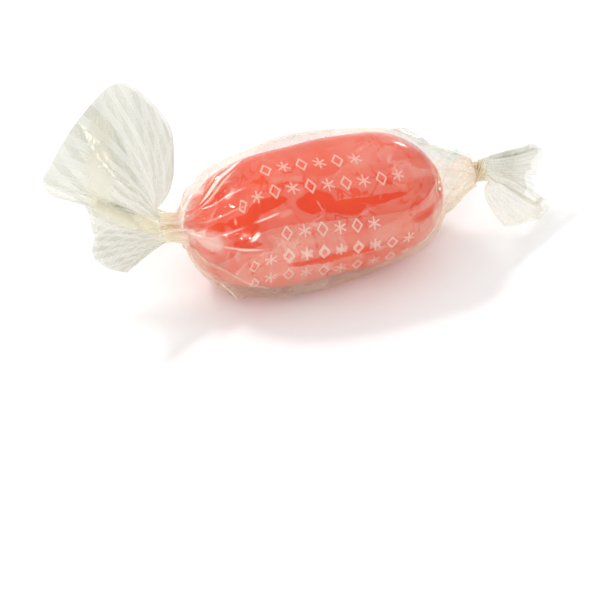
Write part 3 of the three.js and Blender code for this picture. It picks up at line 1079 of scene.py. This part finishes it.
def film_colours(n, gathered, off_sweet, folded, tinted, in_fan):
    """What the film lets through, and what it scatters."""
    far_off = n.step(off_sweet, *FAR_OFF_SWEET)
    clear = n.colour_mix(gathered, CLEAR_SMOOTH, CLEAR_GATHERED)
    # Film off the sweet turns grey and cyan, the cyan a painted cancelling of the sweet's red light on it.
    clear = n.colour_mix(far_off, clear, CLEAR_OFF_SWEET_PAINTED_CYAN)
    clear = n.colour_mix(tinted, clear, CLEAR_FAN)
    white = n.colour_mix(gathered, WHITE_SMOOTH, WHITE_GATHERED)
    white = n.colour_mix(far_off, white, WHITE_OFF_SWEET_PAINTED_CYAN)
    white = n.colour_mix(n.times(in_fan, FAN_WHITE_SHARE), white, WHITE_FAN)
    return clear, n.colour_mix(folded, white, WHITE_FOLDED)


def film_shine(n, bump, touching, in_fan):
    """How much of the film's surface is gloss."""
    straight_on = n.minus(GLOSS_STRAIGHT_ON, n.times(touching, GLOSS_LOST_TOUCHING))
    facing = n.add("ShaderNodeLayerWeight", Blend=0.5, Normal=bump).outputs["Facing"]
    grazing = n.times(n.math("POWER", facing, GRAZING_POWER), GLOSS_GRAZING)
    return n.times(n.math("ADD", straight_on, grazing, clamp=True), n.without(in_fan, GLOSS_LOST_IN_FANS))


def film_material():
    n = Nodes("wrapper_film")
    uv_map = n.tree.nodes.new("ShaderNodeUVMap")
    uv_map.uv_map = FILM_PLACE
    place = uv_map.outputs[0]
    split = n.add("ShaderNodeSeparateXYZ", Vector=place)
    u = n.times(n.minus(split.outputs[0], UV_MIDDLE), UV_MM)
    c = n.times(split.outputs[1], UV_MM)
    names = ("gathered", "off_sweet", "folded", "tinted")
    gathered, off_sweet, folded, tinted = (n.attribute(name) for name in names)
    in_fan = n.step(tinted, *IN_FAN)

    crests = crease_crests_and_highlights(n)
    touching = touching_share(n, place, off_sweet)
    ink = n.most(stripes(n, u, c), print_rows(n, u, c))
    opacity = film_opacity(n, ink, film_facets(n, place), touching, crests, gathered, folded, tinted)
    clear, white = film_colours(n, gathered, off_sweet, folded, tinted, in_fan)
    bump = film_bump(n, place, gathered, in_fan)

    see_through = n.add("ShaderNodeBsdfTransparent", Color=clear).outputs[0]
    surface = n.add("ShaderNodeBsdfDiffuse", Color=white, Normal=bump).outputs[0]
    through = n.add("ShaderNodeBsdfTranslucent", Color=white, Normal=bump).outputs[0]
    scatter = n.shader_mix(n.times(n.without(crests), TRANSLUCENT_SHARE), surface, through)
    gloss = n.add("ShaderNodeBsdfGlossy", Color=GLOSS, Roughness=0.07, Normal=bump).outputs[0]
    body = n.shader_mix(opacity, see_through, scatter)
    return n.finish(n.shader_mix(film_shine(n, bump, touching, in_fan), body, gloss))


# ---- The sweet's material ----

SWEET_RED = (0.78, 0.038, 0.002, 1)
SWEET_CLOUDS = (0.81, 0.06, 0.005, 1)
SWEET_GLOW_RADIUS = (1.0, 0.3, 0.15)  # red light travels furthest under the surface


def sweet_material():
    n = Nodes("boiled_sweet")
    place = n.tree.nodes.new("ShaderNodeTexCoord").outputs["Object"]
    clouds = n.noise(place, scale=220.0, detail=3.0, roughness=0.55, distortion=0.5)
    colour = n.colour_mix(n.step(clouds, 0.35, 0.7), SWEET_RED, SWEET_CLOUDS)
    dimples = n.noise(place, scale=500.0)
    bump = n.add("ShaderNodeBump", Height=dimples, Strength=0.25, Distance=0.0002)
    shader = n.add("ShaderNodeBsdfPrincipled", Base_Color=colour, Roughness=0.16, IOR=1.5)
    n.set(shader, "Normal", bump.outputs[0])
    n.set(shader, "Specular IOR Level", 0.2)
    n.set(shader, "Subsurface Weight", 0.35)
    n.set(shader, "Subsurface Radius", SWEET_GLOW_RADIUS)
    n.set(shader, "Subsurface Scale", 0.0015)
    return n.finish(shader.outputs[0])


# ---- Stage, light and camera ----

# In metres, as Blender has them
FLOOR_SIZE = 3.0
FLOOR_Z = -0.00002
FLOOR_WHITE = (0.93, 0.93, 0.93, 1)
LIGHT_TARGET = (0, 0, 0.008)
# Name, place, length and width, and power in watts
LIGHTS = (
    ("key_light", (-0.2, 0.26, 0.42), (0.13, 0.035), 0.85),
    ("back_light", (0.3, 0.4, 0.06), (0.05, 0.05), 0.3),
    ("front_light", (-0.3, -0.42, 0.3), (0.04, 0.04), 0.55),
)
ROOM_WHITE = (1, 1, 1, 1)
ROOM_STRENGTH = 0.9

# The camera, in millimetres and in pixels of the photo
CAMERA_DISTANCE = 1200.0
SENSOR = 36.0
PICTURE = 600
PIXELS_PER_MM = 8.36
SWEET_PIXEL = (313.5, 209.0)
SWEET_MIDDLE = np.array([0.0, 0.0, 8.2])


def make_floor():
    bpy.ops.mesh.primitive_plane_add(size=FLOOR_SIZE, location=(0, 0, FLOOR_Z))
    floor = bpy.context.object
    floor.name = "floor"
    n = Nodes("floor_white")
    floor.data.materials.append(n.finish(n.add("ShaderNodeBsdfDiffuse", Color=FLOOR_WHITE).outputs[0]))


def make_light(name, place, size, power):
    data = bpy.data.lights.new(name, "AREA")
    data.energy = power
    data.shape = "RECTANGLE"
    data.size, data.size_y = size
    light = add_object(name, data)
    light.location = Vector(place)
    light.rotation_mode = "QUATERNION"
    light.rotation_quaternion = (Vector(LIGHT_TARGET) - Vector(place)).to_track_quat("-Z", "Y")


def make_room():
    world = bpy.data.worlds.new("white_room")
    world.use_nodes = True
    background = world.node_tree.nodes["Background"]
    background.inputs["Color"].default_value = ROOM_WHITE
    background.inputs["Strength"].default_value = ROOM_STRENGTH
    bpy.context.scene.world = world
    for light in LIGHTS:
        make_light(*light)


def set_rendering():
    """Plain colours, and enough bounces for light to pass through many layers of film."""
    scene = bpy.context.scene
    scene.view_settings.view_transform = "Standard"
    scene.view_settings.look = "None"
    scene.cycles.transparent_max_bounces = 96
    scene.cycles.max_bounces = 24
    scene.cycles.diffuse_bounces = 14
    scene.cycles.glossy_bounces = 8


def make_camera():
    data = bpy.data.cameras.new("camera")
    data.sensor_width = SENSOR
    data.lens = SENSOR * CAMERA_DISTANCE * PIXELS_PER_MM / PICTURE
    right = (PICTURE / 2 - SWEET_PIXEL[0]) / PIXELS_PER_MM
    up = (SWEET_PIXEL[1] - PICTURE / 2) / PIXELS_PER_MM
    target = SWEET_MIDDLE + right * CAMERA_RIGHT + up * CAMERA_UP
    place = (target + BACK_TO_CAMERA * CAMERA_DISTANCE) * MM
    turn = Matrix((CAMERA_RIGHT, CAMERA_UP, BACK_TO_CAMERA)).transposed()
    camera = add_object("camera", data)
    camera.matrix_world = Matrix.Translation(Vector(place)) @ turn.to_4x4()
    bpy.context.scene.camera = camera


# ---- The scene ----

make_camera()
film = make_film()
film.data.materials.append(film_material())
sweet = make_sweet()
sweet.data.materials.append(sweet_material())
for piece, slot in ((film, "wrapper_film"), (sweet, "boiled_sweet")):
    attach(piece, "root")
    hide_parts("wrapped_sweet")
make_floor()
make_room()
set_rendering()
